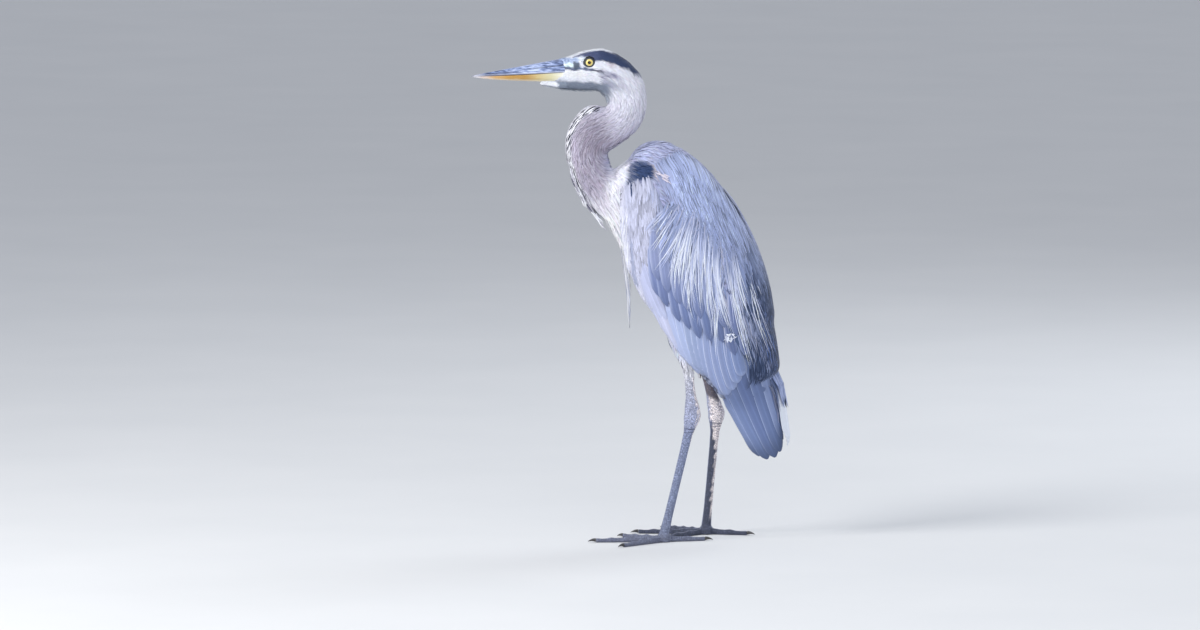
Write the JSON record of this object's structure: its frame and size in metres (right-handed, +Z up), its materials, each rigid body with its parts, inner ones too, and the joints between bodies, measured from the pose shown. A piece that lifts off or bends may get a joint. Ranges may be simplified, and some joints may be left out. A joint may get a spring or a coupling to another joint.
{
  "type": "great blue heron figure",
  "caption": "Standing great blue heron, life size, neck drawn into an S, wings folded, toes flat on the floor.",
  "frame": {"origin": "centre of the bounding box's bottom, at floor level under the body", "axes": "+Z up; the bird faces -Y; its left side is +X"},
  "size_m": [0.2472, 0.5049, 0.7785],
  "materials": {
    "white_down": "soft white down",
    "neck_down": "soft lilac grey down",
    "blue_grey_feather": "matte blue grey feather",
    "silver_plume": "silvery plume",
    "slate_feather": "matte slate feather",
    "bill_upper_horn": "satin horn",
    "bill_lower_horn": "satin horn",
    "eye": "wet gloss",
    "leg_scales": "dry scaled skin",
    "claw_horn": "satin horn"
  },
  "bodies": {
    "root": {"bill_lower": "bill_lower_horn", "bill_upper": "bill_upper_horn", "breast_plumes": "white_down", "chin": "white_down", "eye_left": "eye", "eye_right": "eye", "foot_pad_left": "leg_scales", "foot_pad_right": "leg_scales", "hallux_claw_left": "claw_horn", "hallux_claw_right": "claw_horn", "hallux_left": "leg_scales", "hallux_right": "leg_scales", "head": "white_down", "inner_claw_left": "claw_horn", "inner_claw_right": "claw_horn", "inner_toe_left": "leg_scales", "inner_toe_right": "leg_scales", "middle_claw_left": "claw_horn", "middle_claw_right": "claw_horn", "middle_toe_left": "leg_scales", "middle_toe_right": "leg_scales", "neck_bend": "neck_down", "neck_lower": "neck_down", "neck_upper": "neck_down", "outer_claw_left": "claw_horn", "outer_claw_right": "claw_horn", "outer_toe_left": "leg_scales", "outer_toe_right": "leg_scales", "scapulars": "silver_plume", "shank_left": "leg_scales", "shank_right": "leg_scales", "shoulders": "blue_grey_feather", "tail": "slate_feather", "tarsus_left": "leg_scales", "tarsus_right": "leg_scales", "thigh_left": "white_down", "thigh_right": "white_down", "trunk": "blue_grey_feather", "wing_coverts_left": "blue_grey_feather", "wing_coverts_right": "blue_grey_feather", "wing_primaries_left": "slate_feather", "wing_primaries_right": "slate_feather", "wing_secondaries_left": "blue_grey_feather", "wing_secondaries_right": "blue_grey_feather"}
  },
  "joints": []
}
